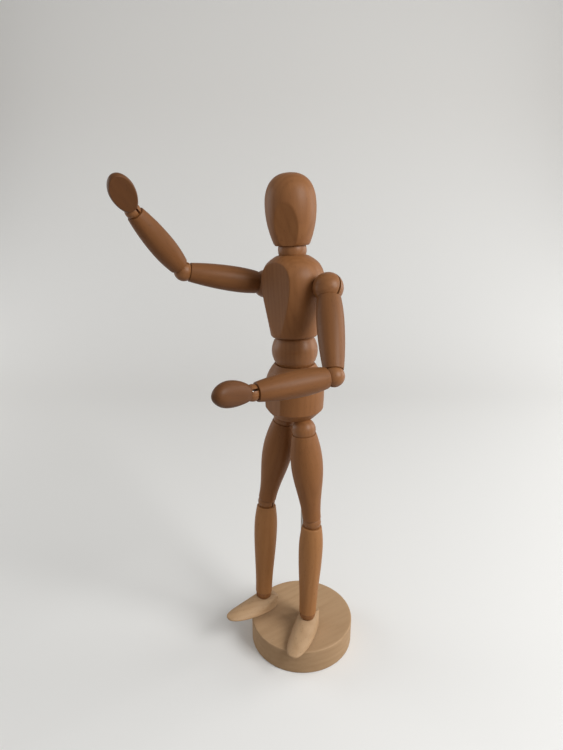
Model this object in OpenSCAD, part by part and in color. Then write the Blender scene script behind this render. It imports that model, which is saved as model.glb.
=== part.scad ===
// Jointed wooden artist's figure posed on a round base.
// Every joint is a wooden ball between two cupped ends. A wire staple sits in each ball: its stem
// turns in the piece before, and its bar is the pin that the next piece's eye bends about.
// Millimetres. Origin at the centre of the base's underside, Z up, -Y towards the viewer.

/* [Base] */
// Diameter of the round base
base_d = 74; // [60:1:100]
// Thickness of the base
base_h = 18.6; // [16:0.2:20]
// Bevel round the base's two edges
base_bevel = 0.8; // [0.4:0.1:1.5]
// Diameter of the steel rod that carries the figure
rod_d = 3; // [2.5:0.1:4]
// Distance of the rod behind the body's axis
rod_back = 8; // [7.5:0.5:9]

/* [Trunk] */
// Height of the hip balls' centres above the floor
hip_z = 176.2; // [176.1:0.1:176.6]
// Half the distance between the hip balls' centres
hip_half = 11.2; // [11:0.1:11.6]
// Height of the waist ball's centre above the hips
hip_to_waist = 49.8; // [48:0.2:52]
// Length from the waist ball's centre to the neck ball's centre
waist_to_neck = 60.6; // [60:0.2:62]
// Height of the shoulders above the waist ball's centre
waist_to_shoulder = 39.4; // [39:0.2:41]
// Half the distance between the shoulder balls' centres
shoulder_half = 27.3; // [26.9:0.1:27.7]
// Distance of the shoulders behind the chest's axis
shoulder_back = 1.8; // [0:0.1:1.8]
// Largest radius of the pelvis
pelvis_r = 18.8; // [18.2:0.1:19.4]
// Distance of the pelvis's flats from its axis
pelvis_flat = 16.4; // [15:0.1:17]
// Largest radius of the chest
chest_r = 19.2; // [18.6:0.1:19.4]
// Distance of the chest's flat front from its axis
chest_flat = 14.5; // [14:0.1:16]
// Largest radius of the head
head_r = 15.2; // [14.2:0.1:16]
// Length from the neck ball's centre to the crown
head_len = 43.7; // [42:0.1:46]
// Slope of the flat face from the head's axis, in degrees
face_slope = 13.2; // [10:0.1:15]

/* [Limbs] */
// Upper arm, ball centre to ball centre
upper_arm_len = 53.6; // [50:0.2:58]
// Largest radius of the upper arm
upper_arm_r = 7.9; // [7.5:0.1:8.3]
// Forearm, ball centre to ball centre
forearm_len = 48.6; // [46:0.2:52]
// Largest radius of the forearm
forearm_r = 7.4; // [7:0.1:8]
// Hand, ball centre to fingertip
hand_len = 25.2; // [24:0.2:27]
// Largest radius of the hand
hand_r = 7; // [6.8:0.1:7.6]
// Thigh, ball centre to ball centre
thigh_len = 68.3; // [68.1:0.1:68.4]
// Largest radius of the thigh
thigh_r = 10.4; // [9.8:0.1:10.6]
// Shin, ball centre to ball centre
shin_len = 75.4; // [75.2:0.1:75.5]
// Largest radius of the shin
shin_r = 8.2; // [7.8:0.1:8.6]
// Height of the ankle ball's centre above the sole
ankle_h = 12.6; // [12.4:0.1:13.4]
// Length of the foot from the ankle's axis to the toe
toe_len = 31.2; // [30:0.2:33]
// Length of the heel behind the ankle's axis
heel_len = 12.4; // [11.6:0.1:13]
// Width of the foot
foot_w = 16.6; // [15.6:0.1:17.2]

/* [Balls] */
// Radius of the waist ball
waist_r = 14.3; // [14:0.1:14.6]
// Radius of the neck ball
neck_r = 8.6; // [8.4:0.1:8.8]
// Radius of the shoulder balls
shoulder_r = 8.9; // [8.8:0.1:9]
// Radius of the elbow balls
elbow_r = 6; // [5.9:0.1:6.1]
// Radius of the wrist balls
wrist_r = 4.5; // [4.4:0.1:4.6]
// Radius of the hip balls
hip_r = 7.6; // [7.5:0.1:7.7]
// Radius of the knee balls
knee_r = 6; // [5.9:0.1:6.1]
// Radius of the ankle balls
ankle_r = 5.6; // [5.5:0.1:5.7]

/* [Wire] */
// Diameter of the steel wire
wire_d = 1.1; // [1:0.05:1.3]
// Thickness of a hook's eye
eye_t = 0.9; // [0.8:0.05:1.1]
// Outside diameter of the springs
spring_d = 4.4; // [4.2:0.1:4.5]

/* [Pose, in degrees] */
// Pelvis turned on the rod
pelvis_turn = -58.2; // [-180:0.1:180]
// Waist: turn, lean, chest turn
waist_pose = [76.4, -5.6, -66.1]; // [-180:0.1:180]
// Neck: nod, head turn
neck_pose = [1.1, 33.1]; // [-180:0.1:180]
// Left shoulder: turn, bend
left_shoulder_pose = [113.3, 65.9]; // [-180:0.1:180]
// Left elbow: turn, bend
left_elbow_pose = [65.6, 74.0]; // [-180:0.1:180]
// Left wrist: turn, bend, hand turn
left_wrist_pose = [87.9, 20.4, 40.7]; // [-180:0.1:180]
// Left hip: turn, bend
left_hip_pose = [-36.5, 5.4]; // [-180:0.1:180]
// Left knee: turn, bend
left_knee_pose = [-175.1, 6.9]; // [-180:0.1:180]
// Left ankle: turn, bend, foot turn
left_ankle_pose = [-163.2, 1.6, 51.1]; // [-180:0.1:180]
// Right shoulder: turn, bend
right_shoulder_pose = [167.9, 69.4]; // [-180:0.1:180]
// Right elbow: turn, bend
right_elbow_pose = [-53.6, 43.4]; // [-180:0.1:180]
// Right wrist: turn, bend, hand turn
right_wrist_pose = [43.1, 19.3, -143.1]; // [-180:0.1:180]
// Right hip: turn, bend
right_hip_pose = [128.5, 11.7]; // [-180:0.1:180]
// Right knee: turn, bend
right_knee_pose = [159.3, 11.9]; // [-180:0.1:180]
// Right ankle: turn, bend, foot turn
right_ankle_pose = [-112.8, 7.3, -167.1]; // [-180:0.1:180]

/* [Hidden] */
$fn = 72;
left = 1;
right = -1;
cup_gap = 0.1;
fit_gap = 0.05;
wire_r = wire_d / 2;
leg_x = 1.9;
eye_r = 1.8;
bridge_z = eye_r + wire_r + 0.5;
slot_w = wire_d + 2 * fit_gap;
slot_x = leg_x + wire_r + fit_gap;
slit_w = max(eye_t, wire_d) + 2 * cup_gap;
slit_top = eye_r + 0.3;
slit_front = eye_r + 0.7;
spring_end = 1.5;
spring_wall = 0.75;
spring_cap = 1.2;
spring_lip = 0.8;
bore_d = spring_d + 0.4;
button_d = spring_d - 2 * spring_wall - 0.3;
button_h = 1;
button_z = spring_end + spring_lip + 0.1;
steps = 16;
rod_in_base = 14;
rod_in_pelvis = 20;
pelvis_floor = 6.3;
pelvis_top = hip_to_waist - 8.5;
chest_low = 8.9;
chest_top = waist_to_neck - 3;
head_low = 2.6;
head_mid = 25;
yoke_z = 22;
yoke_d = 3;
hand_shank = 14;
foot_shank = 11;
palm_slope = 7;
palm_depth = 3;
sole_y = 8;
far = 60;

// Rims at the limbs' ends: radius, distance from the ball's centre, bevel
arm_rim = [7, 6.6, 0.4];
elbow_rim = [5.75, 3.5, 0.4];
forearm_rim = [6, 4.9, 0.9];
wrist_rim = [5.2, 2.3, 0.3];
hip_rim = [7.7, 2.9, 0.3];
knee_rim = [6.2, 3.2, 0.4];
shin_rim = [6.7, 3.2, 0.5];
ankle_rim = [6, 1.8, 0.3];
// Distance of each limb's fullest place below its upper ball
upper_arm_belly = 20;
forearm_belly = 21;
thigh_belly = 24;
shin_belly = 20.5;
// How far the side below the belly follows a wave instead of a parabola: 0 arms, 1 legs
arm_taper = 0;
leg_taper = 1;
// Turned outlines of the trunk, as radius and height
pelvis_side = [[12.6, pelvis_top], [15.9, pelvis_top - 5], [18, pelvis_top - 10.5],
    [pelvis_r, 24.5], [pelvis_r, 18], [pelvis_r - 0.3, 12]];
pelvis_rim_r = 13.2;
chest_rim_r = 13.8;
chest_side = [[14.5, chest_low + 0.9], [16.6, 22], [18.6, 34], [chest_r, 41],
    [chest_r - 0.5, 47], [16, 52.6], [11.5, chest_top - 1.3], [8.8, chest_top]];
// Head: radius at its rim and just above its bevel, the bevel, and where the face plane starts
head_rim_r = 9.9;
head_neck_r = 10.4;
head_bevel = 0.6;
face_y = 9.5;
// Fullness of the crown: 1 is an ellipse, less is squarer
crown = 0.83;
// Hand: rim, fullest place, and the round of its shallow back
hand_rim_r = 4.4;
hand_rim_z = 3.2;
hand_mid = hand_len / 2 + 1.4;
hand_back_r = 9.4;
hand_back_y = 5;
// Foot: its top line from the ankle to the toe, the low heel behind, and the round of its ridge
foot_top_z = 1.5;
foot_top = [[-3, -foot_top_z], [-9, -3], [-18, -6], [-26, -8.6], [-toe_len, -10.6]];
heel_drop = 3;
heel_run = 6;
ridge_r = 9;
ridge_slope = 16.3;

// Smooth curve through a few points of a turned outline
function smooth(p, n = 5) = concat(
    [for (i = [0 : len(p) - 2], k = [0 : n - 1])
        let (t = k / n,
             a = p[max(i - 1, 0)], b = p[i], c = p[i + 1], d = p[min(i + 2, len(p) - 1)])
        0.5 * (2 * b + (c - a) * t + (2 * a - 5 * b + 4 * c - d) * t * t
            + (3 * b - a - 3 * c + d) * t * t * t)],
    [p[len(p) - 1]]);

// A limb's swelling side between two ends, as two curves that meet at the belly
function swelling(top, belly, bottom, taper) = [
    for (i = [0 : steps])
        let (z = top[1] + (bottom[1] - top[1]) * i / steps,
             end = z > belly[1] ? top : bottom,
             t = (z - belly[1]) / (end[1] - belly[1]),
             wave = z > belly[1] ? 0 : taper * ((1 - cos(180 * t)) / 2 - t * t))
        [belly[0] - (belly[0] - end[0]) * (t * t + wave), z]];

function pick(side, l, r) = side == left ? l : r;

// Round piece turned about Z from its outline, given as [radius, height] points
module turned(side)
    rotate_extrude()
        polygon(concat([[0, side[0][1]]], side, [[0, side[len(side) - 1][1]]]));

// Places along the chain of joints, each inside the one before
module at_pelvis()
    translate([0, 0, hip_z]) rotate([0, 0, pelvis_turn]) translate([0, -rod_back, 0]) children();
module at_waist()
    at_pelvis() translate([0, 0, hip_to_waist]) rotate([0, 0, waist_pose[0]]) children();
module on_waist()
    at_waist() rotate([waist_pose[1], 0, 0]) children();
module at_chest()
    on_waist() rotate([0, 0, waist_pose[2]]) children();
module at_neck()
    at_chest() translate([0, 0, waist_to_neck]) rotate([neck_pose[0], 0, 0]) children();
module at_head()
    at_neck() rotate([0, 0, neck_pose[1]]) children();

module at_shoulder(side)
    at_chest() translate([side * shoulder_half, shoulder_back, waist_to_shoulder])
        rotate([0, -90 * side, 0])
        rotate([0, 0, pick(side, left_shoulder_pose, right_shoulder_pose)[0]]) children();
module on_shoulder(side)
    at_shoulder(side)
        rotate([pick(side, left_shoulder_pose, right_shoulder_pose)[1], 0, 0]) children();
module at_elbow(side)
    on_shoulder(side) translate([0, 0, -upper_arm_len])
        rotate([0, 0, pick(side, left_elbow_pose, right_elbow_pose)[0]]) children();
module on_elbow(side)
    at_elbow(side) rotate([pick(side, left_elbow_pose, right_elbow_pose)[1], 0, 0]) children();
module at_wrist(side)
    on_elbow(side) translate([0, 0, -forearm_len])
        rotate([0, 0, pick(side, left_wrist_pose, right_wrist_pose)[0]]) children();
module on_wrist(side)
    at_wrist(side) rotate([pick(side, left_wrist_pose, right_wrist_pose)[1], 0, 0]) children();
module at_hand(side)
    on_wrist(side) rotate([0, 0, pick(side, left_wrist_pose, right_wrist_pose)[2]]) children();

module at_hip(side)
    at_pelvis() translate([side * hip_half, 0, 0])
        rotate([0, 0, pick(side, left_hip_pose, right_hip_pose)[0]]) children();
module on_hip(side)
    at_hip(side) rotate([pick(side, left_hip_pose, right_hip_pose)[1], 0, 0]) children();
module at_knee(side)
    on_hip(side) translate([0, 0, -thigh_len])
        rotate([0, 0, pick(side, left_knee_pose, right_knee_pose)[0]]) children();
module on_knee(side)
    at_knee(side) rotate([pick(side, left_knee_pose, right_knee_pose)[1], 0, 0]) children();
module at_ankle(side)
    on_knee(side) translate([0, 0, -shin_len])
        rotate([0, 0, pick(side, left_ankle_pose, right_ankle_pose)[0]]) children();
module on_ankle(side)
    at_ankle(side) rotate([pick(side, left_ankle_pose, right_ankle_pose)[1], 0, 0]) children();
module at_foot(side)
    on_ankle(side) rotate([0, 0, pick(side, left_ankle_pose, right_ankle_pose)[2]]) children();

// Wooden ball with two crossing slits: the upper one holds the staple, the eye swings in the lower,
// which stops short of the +Y side where an end is given
module joint_ball(r, slit_end = far / 2)
    color("burlywood")
    difference() {
        sphere(r = r);
        translate([-slot_x, -slot_w / 2, -slot_w / 2]) cube([2 * slot_x, slot_w, far]);
        translate([-slit_w / 2, -far / 2, slit_top - far])
            cube([slit_w, far / 2 + slit_end, far]);
    }

// Bent wire with a bar along X through the ball's centre and a buttoned stem upwards
module staple(r)
    color("silver") {
        for (x = [-leg_x, leg_x]) {
            translate([x, 0, 0]) cylinder(r = wire_r, h = bridge_z);
            translate([x, 0, 0]) sphere(r = wire_r);
            translate([x, 0, bridge_z]) sphere(r = wire_r);
        }
        for (z = [0, bridge_z])
            translate([-leg_x, 0, z]) rotate([0, 90, 0]) cylinder(r = wire_r, h = 2 * leg_x);
        translate([0, 0, bridge_z]) cylinder(r = wire_r, h = r + button_z + button_h - bridge_z);
        translate([0, 0, r + button_z]) cylinder(d = button_d, h = button_h);
    }

// Eye round a staple's bar, with a straight shank downwards
module eye_hook(shank)
    difference() {
        union() {
            rotate([0, 90, 0]) cylinder(r = eye_r, h = eye_t, center = true);
            translate([0, 0, -shank]) cylinder(r = wire_r, h = shank - wire_r);
        }
        rotate([0, 90, 0]) cylinder(r = wire_r + fit_gap, h = 2 * eye_t, center = true);
    }

// Spring as a plain tube from 0 down to -length, closed above, lipped below round a staple's stem
module spring_tube(length)
    difference() {
        translate([0, 0, -length]) cylinder(d = spring_d, h = length);
        translate([0, 0, spring_lip - length])
            cylinder(d = spring_d - 2 * spring_wall, h = length - spring_lip - spring_cap);
        translate([0, 0, -length - 1]) cylinder(r = wire_r + fit_gap, h = length / 2);
    }

// Limb's spring with its eye at the upper ball
module limb_spring(length, r0, r1)
    color("silver") {
        eye_hook(r0 + spring_end + spring_cap / 2);
        translate([0, 0, -r0 - spring_end]) spring_tube(length - r0 - r1 - 2 * spring_end);
    }

// Turned limb with a cup at each end and a bore for its spring
module limb(length, top, belly, bottom, r0, r1, taper)
    color("burlywood")
    difference() {
        turned(concat(
            [[top[0] - top[2], -top[1]]],
            swelling([top[0], -top[1] - top[2]], [belly[0], -belly[1]],
                [bottom[0], bottom[1] + bottom[2] - length], taper),
            [[bottom[0] - bottom[2], bottom[1] - length]]));
        sphere(r = r0 + cup_gap);
        translate([0, 0, -length]) sphere(r = r1 + cup_gap);
        translate([0, 0, -length]) cylinder(d = bore_d, h = length);
    }

// Base and rod
module base()
    color("wheat")
    difference() {
        turned([[base_d / 2 - base_bevel, 0], [base_d / 2, base_bevel],
            [base_d / 2, base_h - base_bevel], [base_d / 2 - base_bevel, base_h]]);
        translate([0, 0, base_h - rod_in_base]) cylinder(d = rod_d, h = far);
    }
module rod()
    color("silver")
    translate([0, 0, base_h - rod_in_base])
        cylinder(d = rod_d, h = hip_z + pelvis_floor + rod_in_pelvis - base_h + rod_in_base);

// Trunk
module pelvis()
    color("burlywood") at_pelvis()
    difference() {
        turned(concat(smooth(pelvis_side), [[pelvis_rim_r, pelvis_floor]]));
        translate([-far, -pelvis_flat - far, 0]) cube([2 * far, far, far]);
        translate([-far, pelvis_flat, 0]) cube([2 * far, far, far]);
        translate([0, 0, hip_to_waist]) sphere(r = waist_r + cup_gap);
        for (x = [-hip_half, hip_half]) {
            translate([x, 0, 0]) sphere(r = hip_r + cup_gap);
            translate([x, 0, 0]) cylinder(d = bore_d, h = yoke_z + bore_d / 2);
        }
        translate([0, 0, yoke_z - bore_d / 2]) cylinder(d = bore_d, h = hip_to_waist - yoke_z);
        translate([-hip_half, 0, yoke_z]) rotate([0, 90, 0])
            cylinder(d = yoke_d + 2 * cup_gap, h = 2 * hip_half);
        translate([0, rod_back, pelvis_floor - far])
            cylinder(r = rod_d / 2 + fit_gap, h = far + rod_in_pelvis + fit_gap);
    }
module pelvis_springs()
    color("silver") at_pelvis() {
        for (x = [-hip_half, hip_half])
            translate([x, 0, yoke_z + yoke_d / 2])
                spring_tube(yoke_z + yoke_d / 2 - hip_r - spring_end);
        translate([0, 0, yoke_z - yoke_d / 2]) rotate([180, 0, 0])
            spring_tube(hip_to_waist - waist_r - spring_end - yoke_z + yoke_d / 2);
        for (side = [-1, 1])
            translate([side * (spring_d / 2 - spring_wall / 2), 0, yoke_z]) rotate([0, 90 * side, 0])
                cylinder(d = yoke_d, h = hip_half - spring_d + spring_wall);
    }
module waist_ball()
    at_waist() rotate([180, 0, 0]) joint_ball(waist_r, slit_front);
module waist_staple()
    at_waist() rotate([180, 0, 0]) staple(waist_r);
module chest_hook()
    color("silver") on_waist() {
        rotate([180, 0, 0]) eye_hook(waist_r + button_z + button_h);
        translate([0, 0, waist_r + button_z]) cylinder(d = button_d, h = button_h);
    }
module chest()
    color("burlywood") at_chest()
    difference() {
        turned(concat([[chest_rim_r, chest_low]], smooth(chest_side)));
        translate([-far, -chest_flat - far, 0]) cube([2 * far, far, 2 * far]);
        sphere(r = waist_r + cup_gap);
        translate([0, 0, waist_to_neck]) sphere(r = neck_r + cup_gap);
        for (x = [-shoulder_half, shoulder_half])
            translate([x, shoulder_back, waist_to_shoulder]) sphere(r = shoulder_r + cup_gap);
        cylinder(d = bore_d, h = waist_to_neck);
        translate([-shoulder_half, shoulder_back, waist_to_shoulder]) rotate([0, 90, 0])
            cylinder(d = bore_d, h = 2 * shoulder_half);
    }
module chest_springs()
    color("silver") at_chest() {
        translate([0, 0, waist_to_neck]) eye_hook(neck_r + spring_end + spring_cap / 2);
        translate([0, 0, waist_to_neck - neck_r - spring_end])
            spring_tube(waist_to_neck - neck_r - waist_r - 2 * spring_end);
        for (side = [-1, 1])
            translate([side * spring_wall, shoulder_back, waist_to_shoulder])
                rotate([0, -90 * side, 0])
                spring_tube(shoulder_half - shoulder_r - spring_end - spring_wall);
    }
module neck_ball()
    at_neck() joint_ball(neck_r);
module neck_staple()
    at_neck() staple(neck_r);
module head()
    color("burlywood") at_head()
    difference() {
        turned(concat([[head_rim_r, head_low]],
            [for (i = [0 : steps])
                let (z = head_low + head_bevel + (head_mid - head_low - head_bevel) * i / steps,
                     t = (head_mid - z) / (head_mid - head_low))
                [head_r - (head_r - head_neck_r) * t * t, z]],
            [for (i = [1 : steps - 1])
                [head_r * pow(cos(90 * i / steps), crown),
                    head_mid + (head_len - head_mid) * pow(sin(90 * i / steps), crown)]],
            [[0.01, head_len]]));
        translate([0, -face_y, head_low]) rotate([face_slope, 0, 0]) translate([-far, -far, -far])
            cube([2 * far, far, 2 * far]);
        sphere(r = neck_r + cup_gap);
        cylinder(r = wire_r + fit_gap, h = neck_r + button_z);
        translate([0, 0, neck_r + button_z - cup_gap])
            cylinder(d = button_d + 2 * cup_gap, h = button_h + 2 * cup_gap);
    }

// Arms
module shoulder_ball(side) at_shoulder(side) joint_ball(shoulder_r);
module shoulder_staple(side) at_shoulder(side) staple(shoulder_r);
module upper_arm(side)
    on_shoulder(side)
        limb(upper_arm_len, arm_rim, [upper_arm_r, upper_arm_belly], elbow_rim,
            shoulder_r, elbow_r, arm_taper);
module upper_arm_spring(side)
    on_shoulder(side) limb_spring(upper_arm_len, shoulder_r, elbow_r);
module elbow_ball(side) at_elbow(side) joint_ball(elbow_r);
module elbow_staple(side) at_elbow(side) staple(elbow_r);
module forearm(side)
    on_elbow(side)
        limb(forearm_len, forearm_rim, [forearm_r, forearm_belly], wrist_rim,
            elbow_r, wrist_r, arm_taper);
module forearm_spring(side)
    on_elbow(side) limb_spring(forearm_len, elbow_r, wrist_r);
module wrist_ball(side) at_wrist(side) joint_ball(wrist_r);
module wrist_staple(side) at_wrist(side) staple(wrist_r);
module hand_hook(side) color("silver") on_wrist(side) eye_hook(hand_shank);
module hand(side)
    color("burlywood") at_hand(side)
    difference() {
        intersection() {
            turned(concat(
                [for (i = [0 : steps])
                    let (z = -hand_rim_z - (hand_mid - hand_rim_z) * i / steps, t = 1 - i / steps)
                    [hand_r - (hand_r - hand_rim_r) * t * t, z]],
                [for (i = [1 : steps - 1])
                    [hand_r * cos(90 * i / steps),
                        -hand_mid - (hand_len - hand_mid) * sin(90 * i / steps)]],
                [[0.01, -hand_len]]));
            translate([0, -hand_back_y, -far]) cylinder(r = hand_back_r, h = far);
        }
        translate([0, -palm_depth, -hand_mid]) rotate([palm_slope, 0, 0])
            translate([-far, -far, -far]) cube([2 * far, far, 2 * far]);
        sphere(r = wrist_r + cup_gap);
        translate([0, 0, -hand_shank - cup_gap])
            cylinder(r = wire_r + fit_gap, h = hand_shank);
    }

// Legs
module hip_ball(side) at_hip(side) joint_ball(hip_r);
module hip_staple(side) at_hip(side) staple(hip_r);
module thigh(side)
    on_hip(side)
        limb(thigh_len, hip_rim, [thigh_r, thigh_belly], knee_rim, hip_r, knee_r, leg_taper);
module thigh_spring(side)
    on_hip(side) limb_spring(thigh_len, hip_r, knee_r);
module knee_ball(side) at_knee(side) joint_ball(knee_r);
module knee_staple(side) at_knee(side) staple(knee_r);
module shin(side)
    on_knee(side)
        limb(shin_len, shin_rim, [shin_r, shin_belly], ankle_rim, knee_r, ankle_r, leg_taper);
module shin_spring(side)
    on_knee(side) limb_spring(shin_len, knee_r, ankle_r);
module ankle_ball(side) at_ankle(side) joint_ball(ankle_r);
module ankle_staple(side) at_ankle(side) staple(ankle_r);
module foot_hook(side) color("silver") on_ankle(side) eye_hook(foot_shank);

// Outline of the sole: a squarish heel and a long rounded toe
function sole() = [
    for (i = [0 : 2 * steps - 1])
        let (a = 180 * (i + 0.5) / steps, c = cos(a), s = sin(a))
        c > 0
            ? [foot_w / 2 * sign(s) * (1 - 0.1 * c) * pow(abs(s), 0.5),
                heel_len * pow(c, 0.7) - sole_y * (1 - c)]
            : [foot_w / 2 * sign(s) * pow(abs(s), 0.85), (toe_len - sole_y) * c - sole_y]];
module foot(side)
    color("wheat") at_foot(side)
    difference() {
        intersection() {
            translate([0, 0, -ankle_h]) linear_extrude(ankle_h) polygon(sole());
            rotate([90, 0, 90]) translate([0, 0, -far / 2]) linear_extrude(far)
                polygon(concat([[heel_len + 1, -ankle_h], [heel_len + 1, -foot_top_z - heel_drop],
                        [heel_len - heel_run, -foot_top_z]],
                    smooth(foot_top), [[-toe_len, -ankle_h]]));
            translate([0, 0, -foot_top_z - ridge_r / cos(ridge_slope)])
                rotate([90 + ridge_slope, 0, 0])
                cylinder(r = ridge_r, h = 2 * far, center = true);
        }
        sphere(r = ankle_r + cup_gap);
        translate([0, 0, -foot_shank - cup_gap])
            cylinder(r = wire_r + fit_gap, h = foot_shank);
    }

module left_shoulder_ball() shoulder_ball(left);
module left_shoulder_staple() shoulder_staple(left);
module left_upper_arm() upper_arm(left);
module left_upper_arm_spring() upper_arm_spring(left);
module left_elbow_ball() elbow_ball(left);
module left_elbow_staple() elbow_staple(left);
module left_forearm() forearm(left);
module left_forearm_spring() forearm_spring(left);
module left_wrist_ball() wrist_ball(left);
module left_wrist_staple() wrist_staple(left);
module left_hand_hook() hand_hook(left);
module left_hand() hand(left);
module right_shoulder_ball() shoulder_ball(right);
module right_shoulder_staple() shoulder_staple(right);
module right_upper_arm() upper_arm(right);
module right_upper_arm_spring() upper_arm_spring(right);
module right_elbow_ball() elbow_ball(right);
module right_elbow_staple() elbow_staple(right);
module right_forearm() forearm(right);
module right_forearm_spring() forearm_spring(right);
module right_wrist_ball() wrist_ball(right);
module right_wrist_staple() wrist_staple(right);
module right_hand_hook() hand_hook(right);
module right_hand() hand(right);
module left_hip_ball() hip_ball(left);
module left_hip_staple() hip_staple(left);
module left_thigh() thigh(left);
module left_thigh_spring() thigh_spring(left);
module left_knee_ball() knee_ball(left);
module left_knee_staple() knee_staple(left);
module left_shin() shin(left);
module left_shin_spring() shin_spring(left);
module left_ankle_ball() ankle_ball(left);
module left_ankle_staple() ankle_staple(left);
module left_foot_hook() foot_hook(left);
module left_foot() foot(left);
module right_hip_ball() hip_ball(right);
module right_hip_staple() hip_staple(right);
module right_thigh() thigh(right);
module right_thigh_spring() thigh_spring(right);
module right_knee_ball() knee_ball(right);
module right_knee_staple() knee_staple(right);
module right_shin() shin(right);
module right_shin_spring() shin_spring(right);
module right_ankle_ball() ankle_ball(right);
module right_ankle_staple() ankle_staple(right);
module right_foot_hook() foot_hook(right);
module right_foot() foot(right);

base();
rod();
pelvis();
pelvis_springs();
waist_ball();
waist_staple();
chest_hook();
chest();
chest_springs();
neck_ball();
neck_staple();
head();
left_shoulder_ball();
left_shoulder_staple();
left_upper_arm();
left_upper_arm_spring();
left_elbow_ball();
left_elbow_staple();
left_forearm();
left_forearm_spring();
left_wrist_ball();
left_wrist_staple();
left_hand_hook();
left_hand();
right_shoulder_ball();
right_shoulder_staple();
right_upper_arm();
right_upper_arm_spring();
right_elbow_ball();
right_elbow_staple();
right_forearm();
right_forearm_spring();
right_wrist_ball();
right_wrist_staple();
right_hand_hook();
right_hand();
left_hip_ball();
left_hip_staple();
left_thigh();
left_thigh_spring();
left_knee_ball();
left_knee_staple();
left_shin();
left_shin_spring();
left_ankle_ball();
left_ankle_staple();
left_foot_hook();
left_foot();
right_hip_ball();
right_hip_staple();
right_thigh();
right_thigh_spring();
right_knee_ball();
right_knee_staple();
right_shin();
right_shin_spring();
right_ankle_ball();
right_ankle_staple();
right_foot_hook();
right_foot();
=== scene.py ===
# Jointed wooden artist's figure with one arm raised, standing on a round base.
# Metres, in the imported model's frame. Each piece is shaped in millimetres about its own joint,
# with its length along Z, and is then set in its place along the chain of joints.
import math

import bmesh
import bpy
import numpy as np
from mathutils import Matrix, Vector


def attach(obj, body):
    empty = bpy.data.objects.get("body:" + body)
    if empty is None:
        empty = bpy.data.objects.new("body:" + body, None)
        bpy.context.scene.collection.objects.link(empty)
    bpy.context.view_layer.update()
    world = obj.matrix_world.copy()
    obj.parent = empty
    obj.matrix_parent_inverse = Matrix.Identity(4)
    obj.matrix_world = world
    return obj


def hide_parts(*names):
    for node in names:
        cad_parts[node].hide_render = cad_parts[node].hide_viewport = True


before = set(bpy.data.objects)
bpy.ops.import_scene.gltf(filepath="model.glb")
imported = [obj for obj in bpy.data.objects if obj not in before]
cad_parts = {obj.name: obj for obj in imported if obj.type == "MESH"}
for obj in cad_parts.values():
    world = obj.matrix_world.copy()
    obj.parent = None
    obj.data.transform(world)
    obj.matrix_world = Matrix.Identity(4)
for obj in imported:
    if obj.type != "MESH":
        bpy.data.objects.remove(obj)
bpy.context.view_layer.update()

# Base
# A disc turned from pale beech, sanded and left almost raw, with its two edges eased.
# It stands flat on the floor, and the steel rod is pressed into its centre.
base_radius = 37.0
base_height = 18.6
base_edge = 1.0
raw_pale = (0.49, 0.325, 0.19, 1)
raw_deep = (0.42, 0.268, 0.148, 1)
wood_sheen = 0.22
varnish_roughness = 0.32
grain_relief = 0.00006
grain_relief_share = 0.35
fleck_start = 0.64
fleck_full = 0.74
fleck_darkness = 0.62


def reckon(tree, work, *terms):
    """One step of arithmetic in a node tree. Each term is a number or another step's socket."""
    node = tree.nodes.new("ShaderNodeMath")
    node.operation = work
    for socket, term in zip(node.inputs, terms):
        if isinstance(term, (int, float)):
            socket.default_value = term
        else:
            tree.links.new(term, socket)
    return node.outputs[0]


def grain_noise(tree, place, stretch, detail):
    """Noise drawn out along the grain: stretch is how often it changes per millimetre."""
    scaled = tree.nodes.new("ShaderNodeVectorMath")
    scaled.operation = "MULTIPLY"
    scaled.inputs[1].default_value = stretch
    tree.links.new(place, scaled.inputs[0])
    noise = tree.nodes.new("ShaderNodeTexNoise")
    noise.inputs["Scale"].default_value = 1.0
    noise.inputs["Detail"].default_value = detail
    tree.links.new(scaled.outputs[0], noise.inputs["Vector"])
    return noise.outputs[0]


def blended(tree, share, first, second):
    """Two colours mixed by a share from 0 to 1."""
    mix = tree.nodes.new("ShaderNodeMix")
    mix.data_type = "RGBA"
    tree.links.new(share, mix.inputs[0])
    tree.links.new(first, mix.inputs[6])
    tree.links.new(second, mix.inputs[7])
    return mix.outputs[2]


wood_grain = bpy.data.node_groups.new("wood_grain", "ShaderNodeTree")
wood_grain.interface.new_socket("Place", in_out="INPUT", socket_type="NodeSocketVector")
wood_grain.interface.new_socket("Heart", in_out="INPUT", socket_type="NodeSocketVector")
wood_grain.interface.new_socket("Pale", in_out="INPUT", socket_type="NodeSocketColor")
wood_grain.interface.new_socket("Deep", in_out="INPUT", socket_type="NodeSocketColor")
wood_grain.interface.new_socket("Ring Gap", in_out="INPUT", socket_type="NodeSocketFloat")
wood_grain.interface.new_socket("Rings", in_out="INPUT", socket_type="NodeSocketFloat")
wood_grain.interface.new_socket("Flecks", in_out="INPUT", socket_type="NodeSocketFloat")
wood_grain.interface.new_socket("Polish", in_out="INPUT", socket_type="NodeSocketFloat")
wood_grain.interface.new_socket("Color", in_out="OUTPUT", socket_type="NodeSocketColor")
wood_grain.interface.new_socket("Roughness", in_out="OUTPUT", socket_type="NodeSocketFloat")
wood_grain.interface.new_socket("Height", in_out="OUTPUT", socket_type="NodeSocketFloat")
grain_in = wood_grain.nodes.new("NodeGroupInput")
grain_out = wood_grain.nodes.new("NodeGroupOutput")
grain_place = grain_in.outputs["Place"]
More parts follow.
